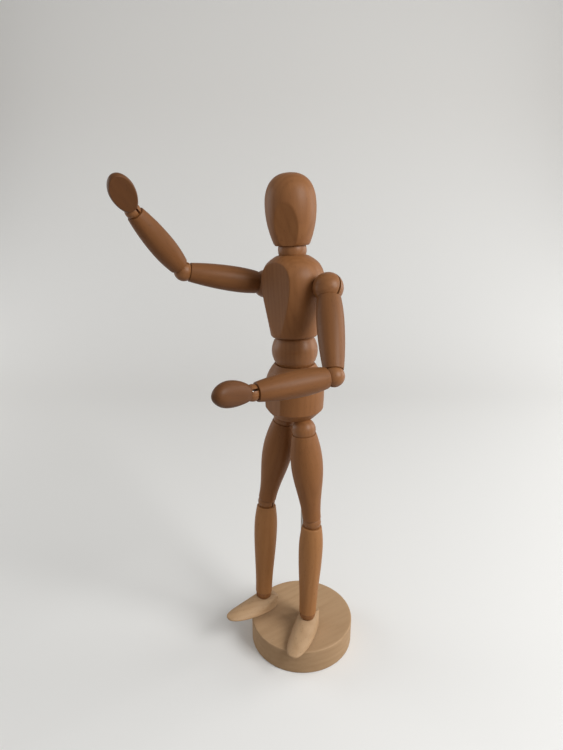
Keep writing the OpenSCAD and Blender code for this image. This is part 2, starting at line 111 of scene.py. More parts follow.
# Growth rings run about the tree's heart, which lies outside the piece, and wander along it
from_heart = wood_grain.nodes.new("ShaderNodeVectorMath")
from_heart.operation = "SUBTRACT"
wood_grain.links.new(grain_place, from_heart.inputs[0])
wood_grain.links.new(grain_in.outputs["Heart"], from_heart.inputs[1])
across = wood_grain.nodes.new("ShaderNodeVectorMath")
across.operation = "MULTIPLY"
across.inputs[1].default_value = (1, 1, 0)
wood_grain.links.new(from_heart.outputs[0], across.inputs[0])
heart_distance = wood_grain.nodes.new("ShaderNodeVectorMath")
heart_distance.operation = "LENGTH"
wood_grain.links.new(across.outputs[0], heart_distance.inputs[0])
wander = grain_noise(wood_grain, grain_place, (0.045, 0.045, 0.012), 2)
wandering = reckon(wood_grain, "MULTIPLY_ADD", wander, 9.0, heart_distance.outputs["Value"])
ring_count = reckon(wood_grain, "DIVIDE", wandering, grain_in.outputs["Ring Gap"])
ring_swing = reckon(wood_grain, "SINE", reckon(wood_grain, "MULTIPLY", ring_count, 2 * math.pi))
ring_half = reckon(wood_grain, "MULTIPLY_ADD", ring_swing, 0.5, 0.5)
late_wood = reckon(wood_grain, "POWER", ring_half, 2.4)
rings = reckon(wood_grain, "MULTIPLY", late_wood, grain_in.outputs["Rings"])
# Streaks of tone, fine fibres and the short dark flecks of the rays, all along the grain
streaks = grain_noise(wood_grain, grain_place, (0.3, 0.3, 0.014), 2)
fibres = grain_noise(wood_grain, grain_place, (2.6, 2.6, 0.07), 3)
ray_noise = grain_noise(wood_grain, grain_place, (1.7, 1.7, 0.3), 1)
flecks = wood_grain.nodes.new("ShaderNodeMapRange")
flecks.interpolation_type = "SMOOTHSTEP"
flecks.inputs["From Min"].default_value = fleck_start
flecks.inputs["From Max"].default_value = fleck_full
wood_grain.links.new(ray_noise, flecks.inputs["Value"])
fleck_share = reckon(wood_grain, "MULTIPLY", flecks.outputs[0], grain_in.outputs["Flecks"])
tone = reckon(wood_grain, "MULTIPLY_ADD", streaks, 1.2, -0.35)
tone = reckon(wood_grain, "MULTIPLY_ADD", fibres, 0.35, tone)
tone = reckon(wood_grain, "ADD", tone, rings)
tone_share = wood_grain.nodes.new("ShaderNodeClamp")
wood_grain.links.new(tone, tone_share.inputs["Value"])
toned = blended(wood_grain, tone_share.outputs[0], grain_in.outputs["Pale"], grain_in.outputs["Deep"])
dark = wood_grain.nodes.new("ShaderNodeVectorMath")
dark.operation = "SCALE"
dark.inputs["Scale"].default_value = fleck_darkness
wood_grain.links.new(grain_in.outputs["Deep"], dark.inputs[0])
flecked = blended(wood_grain, fleck_share, toned, dark.outputs[0])
wood_grain.links.new(flecked, grain_out.inputs["Color"])
rough = reckon(wood_grain, "MULTIPLY_ADD", fibres, 0.16, grain_in.outputs["Polish"])
rough = reckon(wood_grain, "MULTIPLY_ADD", fleck_share, 0.12, rough)
wood_grain.links.new(rough, grain_out.inputs["Roughness"])
raised = reckon(wood_grain, "MULTIPLY_ADD", rings, 0.4, fibres)
raised = reckon(wood_grain, "MULTIPLY_ADD", fleck_share, -0.5, raised)
wood_grain.links.new(raised, grain_out.inputs["Height"])


def wood(name, place, heart, pale, deep, ring_gap, rings, flecks, polish, varnish):
    """Wood whose grain runs along the piece's own Z, from a spot in the tree given by its heart."""
    material = bpy.data.materials.new(name)
    material.use_nodes = True
    tree = material.node_tree
    shader = tree.nodes["Principled BSDF"]
    coordinates = tree.nodes.new("ShaderNodeTexCoord")
    mapping = tree.nodes.new("ShaderNodeMapping")
    mapping.vector_type = "TEXTURE"
    mapping.inputs["Location"].default_value = place.to_translation() * 0.001
    mapping.inputs["Rotation"].default_value = place.to_euler()
    mapping.inputs["Scale"].default_value = (0.001, 0.001, 0.001)
    tree.links.new(coordinates.outputs["Object"], mapping.inputs["Vector"])
    grain = tree.nodes.new("ShaderNodeGroup")
    grain.node_tree = wood_grain
    grain.inputs["Heart"].default_value = heart
    grain.inputs["Pale"].default_value = pale
    grain.inputs["Deep"].default_value = deep
    grain.inputs["Ring Gap"].default_value = ring_gap
    grain.inputs["Rings"].default_value = rings
    grain.inputs["Flecks"].default_value = flecks
    grain.inputs["Polish"].default_value = polish
    tree.links.new(mapping.outputs[0], grain.inputs["Place"])
    tree.links.new(grain.outputs["Color"], shader.inputs["Base Color"])
    tree.links.new(grain.outputs["Roughness"], shader.inputs["Roughness"])
    bump = tree.nodes.new("ShaderNodeBump")
    bump.inputs["Strength"].default_value = grain_relief_share
    bump.inputs["Distance"].default_value = grain_relief
    tree.links.new(grain.outputs["Height"], bump.inputs["Height"])
    tree.links.new(bump.outputs[0], shader.inputs["Normal"])
    shader.inputs["Specular IOR Level"].default_value = wood_sheen
    shader.inputs["Coat Weight"].default_value = varnish
    shader.inputs["Coat Roughness"].default_value = varnish_roughness
    return material


def eased(outline, reach, steps=5):
    """The outline with every corner rounded, from reach millimetres before it to as far after."""
    points = [np.array(p, float) for p in outline]
    out = [points[0]]
    for before, corner, after in zip(points, points[1:], points[2:]):
        start = corner + (before - corner) * min(0.5, reach / np.linalg.norm(before - corner))
        end = corner + (after - corner) * min(0.5, reach / np.linalg.norm(after - corner))
        for t in np.linspace(0, 1, steps + 1):
            out.append((1 - t) ** 2 * start + 2 * t * (1 - t) * corner + t * t * end)
    out.append(points[-1])
    return out


def filled(outline, gap):
    """The outline with points added so that none are further apart than gap."""
    points = [np.array(p, float) for p in outline]
    out = []
    for here, there in zip(points, points[1:]):
        parts = max(1, math.ceil(np.linalg.norm(there - here) / gap))
        out.extend(here + (there - here) * k / parts for k in range(parts))
    out.append(points[-1])
    return out


def new_piece(name, corners, faces):
    """A mesh piece from its corners and faces, with its faces turned outwards."""
    mesh = bpy.data.meshes.new(name)
    mesh.from_pydata(corners, [], faces)
    shell = bmesh.new()
    shell.from_mesh(mesh)
    bmesh.ops.remove_doubles(shell, verts=shell.verts, dist=0.0005)
    bmesh.ops.recalc_face_normals(shell, faces=shell.faces)
    shell.to_mesh(mesh)
    shell.free()
    piece = bpy.data.objects.new(name, mesh)
    bpy.context.scene.collection.objects.link(piece)
    return piece


def turned(name, outline, around=192, tube=False):
    """A piece turned on the lathe from (radius, height) points; a tube's outline is a closed loop."""
    angles = np.linspace(0, 2 * math.pi, around, endpoint=False)
    corners = []
    rows = []
    for radius, height in outline:
        first = len(corners)
        if radius < 1e-6:
            corners.append((0, 0, height))
            rows.append([first] * around)
        else:
            corners.extend((radius * math.cos(a), radius * math.sin(a), height) for a in angles)
            rows.append(list(range(first, first + around)))
    if tube:
        rows.append(rows[0])
    faces = []
    for low, high in zip(rows, rows[1:]):
        for i in range(around):
            j = (i + 1) % around
            faces.append(list(dict.fromkeys((low[i], low[j], high[j], high[i]))))
    return new_piece(name, corners, faces)


def seated(piece, place, material, body, node):
    """Sets a finished piece in its place on its body, in its wood, for the plain solid."""
    piece.data.transform(Matrix.Scale(0.001, 4) @ place)
    piece.data.materials.clear()
    piece.data.materials.append(material)
    piece.data.shade_smooth()
    piece.data.set_sharp_from_angle(angle=math.radians(40))
    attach(piece, body)
    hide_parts(node)


base_outline = eased([(0, 0), (base_radius, 0), (base_radius, base_height), (0, base_height)], base_edge)
base_place = Matrix.Identity(4)
# The disc is sawn from a plank, so its grain lies flat, across the view
base_grain = Matrix.Rotation(math.radians(-58), 4, "Z") @ Matrix.Rotation(math.radians(88), 4, "X")
base_wood = wood("base_wood", base_grain, (14, 46, 0), raw_pale, raw_deep, ring_gap=4.6, rings=0.25,
                 flecks=0.2, polish=0.5, varnish=0.0)
base_disc = turned("base_disc", filled(base_outline, 2.0))
seated(base_disc, base_place, base_wood, "base", "base")

# Rod
# Drawn steel rod, bright and lightly scratched along its length. It is pressed into the base and
# the pelvis turns on its upper end.
steel = bpy.data.materials.new("drawn_steel")
steel.use_nodes = True
steel_tree = steel.node_tree
steel_shader = steel_tree.nodes["Principled BSDF"]
steel_coordinates = steel_tree.nodes.new("ShaderNodeTexCoord")
draw_marks = grain_noise(steel_tree, steel_coordinates.outputs["Object"], (3000, 3000, 160), 3)
steel_rough = reckon(steel_tree, "MULTIPLY_ADD", draw_marks, 0.28, 0.2)
steel_tree.links.new(steel_rough, steel_shader.inputs["Roughness"])
steel_dull = steel_tree.nodes.new("ShaderNodeValToRGB")
steel_dull.color_ramp.elements[0].color = (0.34, 0.33, 0.31, 1)
steel_dull.color_ramp.elements[1].color = (0.62, 0.61, 0.59, 1)
steel_tree.links.new(draw_marks, steel_dull.inputs[0])
steel_tree.links.new(steel_dull.outputs[0], steel_shader.inputs["Base Color"])
steel_shader.inputs["Metallic"].default_value = 1.0


def in_steel(node):
    """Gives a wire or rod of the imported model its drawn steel."""
    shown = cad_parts[node]
    shown.data.materials.clear()
    shown.data.materials.append(steel)


in_steel("rod")

# Pelvis
# Turned block of warm varnished beech with a flat sanded on its front and its back. Its top is a
# cup for the waist ball, and the two hip balls sit in hollows in its underside.
hip_height = 176.2
hip_half = 11.2
hip_radius = 7.6
rod_behind = 8.0
rod_radius = 1.5
pelvis_turn = -58.2
pelvis_flat = 16.4
hip_to_waist = 49.8
waist_radius = 14.3
cup_gap = 0.1
bore_radius = 2.4
pelvis_top = 41.3
pelvis_floor = 6.3
hip_bore_top = 24.4
waist_bore_low = 19.6
cross_bore_height = 22
cross_bore_radius = 1.6
rod_hole_top = 26.35
warm_pale = (0.29, 0.122, 0.042, 1)
warm_deep = (0.22, 0.087, 0.027, 1)


def shifted(x, y, z):
    return Matrix.Translation((x, y, z))


def spun(axis, degrees):
    return Matrix.Rotation(math.radians(degrees), 4, axis)


def smooth(points, steps=8):
    """A smooth curve through a few points of a turned outline."""
    p = [np.array(point, float) for point in points]
    out = []
    for i in range(len(p) - 1):
        a, b, c, d = p[max(i - 1, 0)], p[i], p[i + 1], p[min(i + 2, len(p) - 1)]
        for t in np.arange(steps) / steps:
            bend = (2 * a - 5 * b + 4 * c - d) * t * t + (3 * b - a - 3 * c + d) * t ** 3
            out.append(0.5 * (2 * b + (c - a) * t + bend))
    out.append(p[-1])
    return out


def cup(ball, centre, rim, bore, steps=14):
    """Outline of the cup that holds a ball, from the bore in its middle out to its rim."""
    side = 1 if rim > centre else -1
    first = math.asin(bore / ball)
    last = math.acos(abs(rim - centre) / ball)
    return [(ball * math.sin(a), centre + side * ball * math.cos(a)) for a in np.linspace(first, last, steps)]


def get_corners(piece):
    flat = np.empty(len(piece.data.vertices) * 3)
    piece.data.vertices.foreach_get("co", flat)
    return flat.reshape(-1, 3)


def set_corners(piece, corners):
    piece.data.vertices.foreach_set("co", corners.ravel())
    piece.data.update()


def sanded_flat(piece, point, outward, soft):
    """Sands a flat: what stands outside the plane comes back to it, with a slightly soft edge."""
    corners = get_corners(piece)
    outward = np.array(outward, float)
    proud = (corners - np.array(point, float)) @ outward
    near = np.maximum(soft - np.abs(proud), 0) / soft
    kept = np.minimum(proud, 0) - near ** 2 * soft / 4
    set_corners(piece, corners + np.outer(kept - proud, outward))


def hollowed(piece, centre, ball, soft):
    """Presses a round hollow for a ball into the piece."""
    corners = get_corners(piece)
    away = corners - np.array(centre, float)
    reach = np.linalg.norm(away, axis=1)
    clear = reach - ball
    near = np.maximum(soft - np.abs(clear), 0) / soft
    kept = np.maximum(clear, 0) + near ** 2 * soft / 4
    set_corners(piece, corners + away * ((kept - clear) / reach)[:, None])


def plain_mesh(piece):
    """Replaces a piece's modifiers by the mesh that they make."""
    made = bpy.data.meshes.new_from_object(piece.evaluated_get(bpy.context.evaluated_depsgraph_get()))
    piece.modifiers.clear()
    piece.data = made


def drilled(piece, holes):
    """Drills round holes, each given by its two ends and its radius."""
    drill = bmesh.new()
    for start, end, radius in holes:
        start = Vector(start)
        along = Vector(end) - start
        turn = along.to_track_quat("Z", "Y").to_matrix().to_4x4()
        middle = Matrix.Translation(start + along / 2) @ turn
        bmesh.ops.create_cone(drill, cap_ends=True, segments=32, radius1=radius, radius2=radius,
                              depth=along.length, matrix=middle)
    mesh = bpy.data.meshes.new("drill")
    drill.to_mesh(mesh)
    drill.free()
    cutter = bpy.data.objects.new("drill", mesh)
    bpy.context.scene.collection.objects.link(cutter)
    cut = piece.modifiers.new("holes", "BOOLEAN")
    cut.operation = "DIFFERENCE"
    cut.solver = "EXACT"
    cut.use_self = True
    cut.object = cutter
    plain_mesh(piece)
    bpy.data.objects.remove(cutter)


pelvis_place = shifted(0, 0, hip_height) @ spun("Z", pelvis_turn) @ shifted(0, -rod_behind, 0)
pelvis_side = smooth([(12.6, pelvis_top), (15.9, 36.3), (18, 30.8), (18.8, 24.5), (18.8, 18), (18.5, 12)])
pelvis_cup = cup(waist_radius + cup_gap, hip_to_waist, pelvis_top, 0)
pelvis_chamfer = eased([pelvis_side[-2], pelvis_side[-1], (13.2, pelvis_floor), (0, pelvis_floor)], 0.5)
pelvis_outline = pelvis_cup + pelvis_side[:-1] + pelvis_chamfer[1:]
pelvis_block = turned("pelvis_block", filled(pelvis_outline, 0.45), around=288)
sanded_flat(pelvis_block, (0, -pelvis_flat, 0), (0, -1, 0), 0.25)
sanded_flat(pelvis_block, (0, pelvis_flat, 0), (0, 1, 0), 0.25)
for hip_x in (-hip_half, hip_half):
    hollowed(pelvis_block, (hip_x, 0, 0), hip_radius + cup_gap, 0.3)
drilled(pelvis_block, [
    ((-hip_half, 0, 2), (-hip_half, 0, hip_bore_top), bore_radius),
    ((hip_half, 0, 2), (hip_half, 0, hip_bore_top), bore_radius),
    ((0, 0, waist_bore_low), (0, 0, 40), bore_radius),
    ((-hip_half, 0, cross_bore_height), (hip_half, 0, cross_bore_height), cross_bore_radius),
    ((0, rod_behind, 0), (0, rod_behind, rod_hole_top), rod_radius + 0.05),
])
pelvis_wood = wood("pelvis_wood", pelvis_place, (34, -52, 0), warm_pale, warm_deep, ring_gap=3.4, rings=0.25,
                   flecks=0.4, polish=0.48, varnish=0.15)
seated(pelvis_block, pelvis_place, pelvis_wood, "pelvis", "pelvis")

# Waist ball
# Turned ball of the same beech. A saw slit in one half holds the wire staple, and a second slit
# across the other half lets the next piece's wire eye swing. Every joint has such a ball.
waist_turn = 76.4
waist_lean = -5.6
wire_slot = 1.2
wire_slot_length = 5.0
eye_slit = 1.3
eye_slit_top = 2.1
waist_slit_end = 2.5

ball_tree = bpy.data.node_groups.new("slit_ball", "GeometryNodeTree")
for size in ("Radius", "Staple Slot", "Slot Length", "Eye Slit", "Slit Top", "Slit End"):
    ball_tree.interface.new_socket(size, in_out="INPUT", socket_type="NodeSocketFloat")
ball_tree.interface.new_socket("Wood", in_out="INPUT", socket_type="NodeSocketMaterial")
ball_tree.interface.new_socket("Ball", in_out="OUTPUT", socket_type="NodeSocketGeometry")
ball_in = ball_tree.nodes.new("NodeGroupInput")
ball_out = ball_tree.nodes.new("NodeGroupOutput")


def linked(tree, node, **sources):
    """Links a node's inputs, named with underscores for spaces, and returns the node."""
    for socket, source in sources.items():
        tree.links.new(source, node.inputs[socket.replace("_", " ")])
    return node


def saw_cut(tree, x, y, z, aside, height):
    """A box as wide as the cut, its middle at the given height and, where given, aside along Y."""
    size = tree.nodes.new("ShaderNodeCombineXYZ")
    for socket, length in zip(size.inputs, (x, y, z)):
        tree.links.new(length, socket)
    box = linked(tree, tree.nodes.new("GeometryNodeMeshCube"), Size=size.outputs[0])
    centre = tree.nodes.new("ShaderNodeCombineXYZ")
    if aside is not None:
        tree.links.new(aside, centre.inputs["Y"])
    tree.links.new(height, centre.inputs["Z"])
    moved = tree.nodes.new("GeometryNodeTransform")
    linked(tree, moved, Geometry=box.outputs["Mesh"], Translation=centre.outputs[0])
    return moved.outputs[0]


ball_radius = ball_in.outputs["Radius"]
ball_across = reckon(ball_tree, "MULTIPLY", ball_radius, 2.0)
ball_beyond = reckon(ball_tree, "MULTIPLY", ball_radius, 4.0)
slot_wide = ball_in.outputs["Staple Slot"]
slot_middle = reckon(ball_tree, "MULTIPLY_ADD", slot_wide, -0.5, ball_radius)
slot_long = ball_in.outputs["Slot Length"]
staple_cut = saw_cut(ball_tree, slot_long, slot_wide, ball_across, None, slot_middle)
slit_middle = reckon(ball_tree, "SUBTRACT", ball_in.outputs["Slit Top"], ball_across)
slit_aside = reckon(ball_tree, "SUBTRACT", ball_in.outputs["Slit End"], ball_across)
eye_cut = saw_cut(ball_tree, ball_in.outputs["Eye Slit"], ball_beyond, ball_beyond, slit_aside, slit_middle)
round_ball = ball_tree.nodes.new("GeometryNodeMeshUVSphere")
round_ball.inputs["Segments"].default_value = 96
round_ball.inputs["Rings"].default_value = 64
ball_tree.links.new(ball_radius, round_ball.inputs["Radius"])
sawn_ball = ball_tree.nodes.new("GeometryNodeMeshBoolean")
sawn_ball.operation = "DIFFERENCE"
ball_tree.links.new(round_ball.outputs["Mesh"], sawn_ball.inputs["Mesh 1"])
ball_tree.links.new(staple_cut, sawn_ball.inputs["Mesh 2"])
ball_tree.links.new(eye_cut, sawn_ball.inputs["Mesh 2"])
real_ball = ball_tree.nodes.new("GeometryNodeRealizeInstances")
ball_tree.links.new(sawn_ball.outputs["Mesh"], real_ball.inputs[0])
wooden_ball = ball_tree.nodes.new("GeometryNodeSetMaterial")
linked(ball_tree, wooden_ball, Geometry=real_ball.outputs[0], Material=ball_in.outputs["Wood"])
ball_tree.links.new(wooden_ball.outputs[0], ball_out.inputs["Ball"])


def shaped(name, tree, material, sizes, edge):
    """A piece made by a node tree from its sizes, with its cut edges eased, as a plain mesh."""
    piece = bpy.data.objects.new(name, bpy.data.meshes.new(name))
    bpy.context.scene.collection.objects.link(piece)
    shape = piece.modifiers.new("shape", "NODES")
    shape.node_group = tree
    shape[tree.interface.items_tree["Wood"].identifier] = material
    for size, value in sizes.items():
        shape[tree.interface.items_tree[size].identifier] = value
    if edge:
        ease = piece.modifiers.new("ease", "BEVEL")
        ease.width = edge
        ease.segments = 2
        ease.limit_method = "ANGLE"
        ease.angle_limit = math.radians(50)
    plain_mesh(piece)
    return piece


def joint_ball(node, place, radius, heart, slit_end=None):
    """One joint's ball; its eye slit runs right through, or stops at slit_end on the +Y side."""
    if slit_end is None:
        slit_end = 2 * radius
    material = wood(node + "_wood", place, heart, warm_pale, warm_deep, ring_gap=3.0, rings=0.25, flecks=0.4,
                    polish=0.42, varnish=0.25)
    sizes = {"Radius": radius, "Staple Slot": wire_slot, "Slot Length": wire_slot_length,
             "Eye Slit": eye_slit, "Slit Top": eye_slit_top, "Slit End": slit_end}
    piece = shaped(node + "_wood", ball_tree, material, sizes, 0.12)
    seated(piece, place, material, node, node)


waist_place = pelvis_place @ shifted(0, 0, hip_to_waist) @ spun("Z", waist_turn)
joint_ball("waist_ball", waist_place @ spun("X", 180), waist_radius, (30, 22, 0), slit_end=waist_slit_end)

# Chest
# Turned block, fullest at the shoulders, with a flat sanded on its front. Growth rings show as
# arcs on its shoulders. It has cups for the waist and neck balls and hollows for the shoulders.
chest_turn = -66.1
waist_to_neck = 60.6
waist_to_shoulder = 39.4
shoulder_half = 27.3
shoulder_behind = 1.8
shoulder_radius = 8.9
neck_radius = 8.6
chest_flat = 14.5
chest_low = 8.9
chest_top = 57.6
chest_place = waist_place @ spun("X", waist_lean) @ spun("Z", chest_turn)
chest_side = smooth([(14.5, 9.8), (16.6, 22), (18.6, 34), (19.2, 41), (18.7, 47), (16, 52.6), (11.5, 56.3),
                     (8.8, chest_top)])
chest_outline = cup(waist_radius + cup_gap, 0, chest_low, bore_radius) + [(13.8, chest_low)] + chest_side
chest_outline += cup(neck_radius + cup_gap, waist_to_neck, chest_top, bore_radius)[::-1]
chest_block = turned("chest_block", filled(chest_outline, 0.45), around=288, tube=True)
sanded_flat(chest_block, (0, -chest_flat, 0), (0, -1, 0), 0.25)
for shoulder_x in (-shoulder_half, shoulder_half):
    hollowed(chest_block, (shoulder_x, shoulder_behind, waist_to_shoulder), shoulder_radius + cup_gap, 0.3)
drilled(chest_block, [((-shoulder_half, shoulder_behind, waist_to_shoulder),
                       (shoulder_half, shoulder_behind, waist_to_shoulder), bore_radius)])
chest_wood = wood("chest_wood", chest_place, (58, -30, 0), warm_pale, warm_deep, ring_gap=2.6, rings=0.3,
                  flecks=0.3, polish=0.48, varnish=0.15)
seated(chest_block, chest_place, chest_wood, "chest", "chest")

# Neck ball and head
# The neck is a ball like the others, its slit closed at the front. The head is a turned egg with
# a long flat for a face and no features, cupped for the neck, with a hole for the staple's stem.
neck_nod = 1.1
head_turn = 33.1
head_low = 2.6
head_middle = 25.0
head_radius = 15.2
head_length = 43.7
head_neck = 10.4
crown_round = 0.83
face_front = 9.5
face_slope = math.radians(13.2)
stem_radius = 0.6
button_radius = 1.4
button_low = 10.9
button_top = 12.1
neck_slit_end = 5.0
neck_place = chest_place @ shifted(0, 0, waist_to_neck) @ spun("X", neck_nod)
joint_ball("neck_ball", neck_place @ spun("Z", 180), neck_radius, (26, -18, 0), slit_end=neck_slit_end)
head_place = neck_place @ spun("Z", head_turn)
head_outline = [(0, button_top), (button_radius, button_top), (button_radius, button_low)]
head_outline.append((stem_radius, button_low))
head_outline += cup(neck_radius + cup_gap, 0, head_low, stem_radius)
head_outline += eased([(8.3, head_low), (10.15, head_low), (10.6, head_low + 1.2)], 0.5)[1:-1]
for t in np.linspace(1, 0, 30):
    z = head_middle - (head_middle - head_low - 1.2) * t
    below = (head_middle - z) / (head_middle - head_low)
    head_outline.append((head_radius - (head_radius - head_neck) * below ** 2, z))
for a in np.linspace(0, math.pi / 2, 40)[1:-1]:
    crown_height = (head_length - head_middle) * math.sin(a) ** crown_round
    head_outline.append((head_radius * math.cos(a) ** crown_round, head_middle + crown_height))
head_outline.append((0, head_length))
head_egg = turned("head_egg", filled(head_outline, 0.45), around=288)
sanded_flat(head_egg, (0, -face_front, head_low), (0, -math.cos(face_slope), -math.sin(face_slope)), 0.2)
head_wood = wood("head_wood", head_place, (-26, 40, 0), warm_pale, warm_deep, ring_gap=3.2, rings=0.25,
                 flecks=0.4, polish=0.48, varnish=0.15)
seated(head_egg, head_place, head_wood, "head", "head")

# Upper arms, forearms, thighs and shins
# Spindles turned from beech, cupped at both ends and bored from end to end for the tension spring.
# Each swells to its belly and tapers to the next cup. The arms are coloured a darker wood for painted
# shade, and the shins a paler one for painted light.
upper_arm_length = 53.6
forearm_length = 48.6
thigh_length = 68.3
shin_length = 75.4
elbow_radius = 6.0
wrist_radius = 4.5
knee_radius = 6.0
ankle_radius = 5.6
# The arm colours are darkened for the shade on the arms: painted shade.
shaded_arm_pale = (0.225, 0.091, 0.03, 1)
shaded_arm_deep = (0.17, 0.066, 0.0195, 1)
# The shin colours are lightened for the light low on the legs: painted light.
lit_shin_pale = (0.39, 0.18, 0.067, 1)
lit_shin_deep = (0.31, 0.136, 0.046, 1)
cup_rows = 18
side_rows = 90
rows_around = 96

limb_tree = bpy.data.node_groups.new("turned_limb", "GeometryNodeTree")
for size in ("Length", "Upper Ball", "Lower Ball", "Bore", "Belly Radius", "Belly Drop", "Upper Rim",
             "Upper Drop", "Upper Ease", "Lower Rim", "Lower Drop", "Lower Ease", "Taper"):
    limb_tree.interface.new_socket(size, in_out="INPUT", socket_type="NodeSocketFloat")
limb_tree.interface.new_socket("Wood", in_out="INPUT", socket_type="NodeSocketMaterial")
limb_tree.interface.new_socket("Limb", in_out="OUTPUT", socket_type="NodeSocketGeometry")
limb_in = limb_tree.nodes.new("NodeGroupInput")
limb_out = limb_tree.nodes.new("NodeGroupOutput")


def limb_step(work, *terms):
    """One step of the limb's outline; a term in words is one of the limb's sizes."""
    found = [limb_in.outputs[t] if isinstance(t, str) else t for t in terms]
    return reckon(limb_tree, work, *found)


def limb_choice(test, yes, no):
    """The first value where the test holds, and otherwise the second."""
    switch = limb_tree.nodes.new("GeometryNodeSwitch")
    switch.input_type = "FLOAT"
    limb_tree.links.new(test, switch.inputs[0])
    limb_tree.links.new(no, switch.inputs[1])
    limb_tree.links.new(yes, switch.inputs[2])
    return switch.outputs[0]


# A sheet is rolled up: along it run the upper cup, the side, the lower cup and the bore
last_row = 2 * cup_rows + side_rows
sheet = limb_tree.nodes.new("GeometryNodeMeshGrid")
sheet.inputs["Size X"].default_value = 1.0
sheet.inputs["Size Y"].default_value = 1.0
sheet.inputs["Vertices X"].default_value = last_row + 1
sheet.inputs["Vertices Y"].default_value = rows_around + 1
sheet_spot = limb_tree.nodes.new("ShaderNodeSeparateXYZ")
sheet_place = limb_tree.nodes.new("GeometryNodeInputPosition")
limb_tree.links.new(sheet_place.outputs[0], sheet_spot.inputs[0])
row = limb_step("ROUND", limb_step("MULTIPLY_ADD", sheet_spot.outputs["X"], last_row, last_row / 2))
round_angle = limb_step("MULTIPLY_ADD", sheet_spot.outputs["Y"], 2 * math.pi, math.pi)
in_bore = limb_step("GREATER_THAN", row, last_row - 0.5)
in_upper_cup = limb_step("MAXIMUM", in_bore, limb_step("LESS_THAN", row, cup_rows - 0.5))
in_lower_cup = limb_step("GREATER_THAN", row, cup_rows + side_rows - 0.5)


def cup_point(ball, drop, along):
    """Radius and height of a cup's point, by how far it lies from the bore to the rim."""
    first = limb_step("ARCSINE", limb_step("DIVIDE", "Bore", ball))
    last = limb_step("ARCCOSINE", limb_step("DIVIDE", drop, ball))
    angle = limb_step("MULTIPLY_ADD", limb_step("SUBTRACT", last, first), along, first)
    radius = limb_step("MULTIPLY", ball, limb_step("SINE", angle))
    return radius, limb_step("MULTIPLY", ball, limb_step("COSINE", angle))


upper_along = limb_step("DIVIDE", row, cup_rows - 1.0)
upper_along = limb_step("MULTIPLY", upper_along, limb_step("SUBTRACT", 1.0, in_bore))
upper_radius, upper_depth = cup_point("Upper Ball", "Upper Drop", upper_along)
upper_height = limb_step("MULTIPLY", upper_depth, -1.0)
lower_along = limb_step("DIVIDE", limb_step("SUBTRACT", last_row - 1.0, row), cup_rows - 1.0)
lower_radius, lower_depth = cup_point("Lower Ball", "Lower Drop", lower_along)
lower_height = limb_step("SUBTRACT", lower_depth, "Length")
# The side swells as a parabola from each rim to the belly, and each rim's corner is eased.
# Below the belly it can follow a wave instead, by the taper's share.
side_along = limb_step("DIVIDE", limb_step("SUBTRACT", row, float(cup_rows)), side_rows - 1.0)
side_spread = limb_step("COSINE", limb_step("MULTIPLY", side_along, math.pi))
side_share = limb_step("MULTIPLY_ADD", side_spread, -0.5, 0.5)
side_length = limb_step("SUBTRACT", limb_step("SUBTRACT", "Length", "Upper Drop"), "Lower Drop")
from_upper = limb_step("MULTIPLY", side_share, side_length)
from_lower = limb_step("SUBTRACT", side_length, from_upper)
side_height = limb_step("MULTIPLY", limb_step("ADD", from_upper, "Upper Drop"), -1.0)
from_belly = limb_step("ADD", side_height, "Belly Drop")
upper_reach = limb_step("SUBTRACT", limb_step("SUBTRACT", "Belly Drop", "Upper Drop"), "Upper Ease")
below_belly = limb_step("SUBTRACT", limb_step("SUBTRACT", "Length", "Belly Drop"), "Lower Drop")
lower_reach = limb_step("SUBTRACT", below_belly, "Lower Ease")
above_belly = limb_step("GREATER_THAN", from_belly, 0.0)
belly_reach = limb_choice(above_belly, upper_reach, lower_reach)
rim_radius = limb_choice(above_belly, limb_in.outputs["Upper Rim"], limb_in.outputs["Lower Rim"])
belly_share = limb_step("DIVIDE", from_belly, belly_reach)
belly_share = limb_step("MINIMUM", limb_step("ABSOLUTE", belly_share), 1.0)
belly_square = limb_step("MULTIPLY", belly_share, belly_share)
belly_swing = limb_step("COSINE", limb_step("MULTIPLY", belly_share, math.pi))
belly_wave = limb_step("MULTIPLY_ADD", belly_swing, -0.5, 0.5)
wave_share = limb_step("MULTIPLY", "Taper", limb_step("SUBTRACT", 1.0, above_belly))
belly_wave = limb_step("MULTIPLY", wave_share, limb_step("SUBTRACT", belly_wave, belly_square))
belly_curve = limb_step("ADD", belly_square, belly_wave)
belly_fall = limb_step("MULTIPLY", limb_step("SUBTRACT", "Belly Radius", rim_radius), belly_curve)
swelling = limb_step("SUBTRACT", "Belly Radius", belly_fall)


def corner_ease(distance, ease):
    """How far an eased corner draws the side in, this far from the rim."""
    left = limb_step("SUBTRACT", 1.0, limb_step("DIVIDE", distance, ease))
    left = limb_step("MAXIMUM", left, 0.0)
    square = limb_step("SUBTRACT", 1.0, limb_step("MULTIPLY", left, left))
    arch = limb_step("SQRT", limb_step("MAXIMUM", square, 0.0))
    return limb_step("MULTIPLY", ease, limb_step("SUBTRACT", 1.0, arch))


side_radius = limb_step("SUBTRACT", swelling, corner_ease(from_upper, "Upper Ease"))
side_radius = limb_step("SUBTRACT", side_radius, corner_ease(from_lower, "Lower Ease"))
limb_radius = limb_choice(in_upper_cup, upper_radius, limb_choice(in_lower_cup, lower_radius, side_radius))
limb_height = limb_choice(in_upper_cup, upper_height, limb_choice(in_lower_cup, lower_height, side_height))
rolled = limb_tree.nodes.new("ShaderNodeCombineXYZ")
limb_tree.links.new(limb_step("MULTIPLY", limb_radius, limb_step("COSINE", round_angle)), rolled.inputs["X"])
limb_tree.links.new(limb_step("MULTIPLY", limb_radius, limb_step("SINE", round_angle)), rolled.inputs["Y"])
limb_tree.links.new(limb_height, rolled.inputs["Z"])
rolled_sheet = limb_tree.nodes.new("GeometryNodeSetPosition")
linked(limb_tree, rolled_sheet, Geometry=sheet.outputs["Mesh"], Position=rolled.outputs[0])
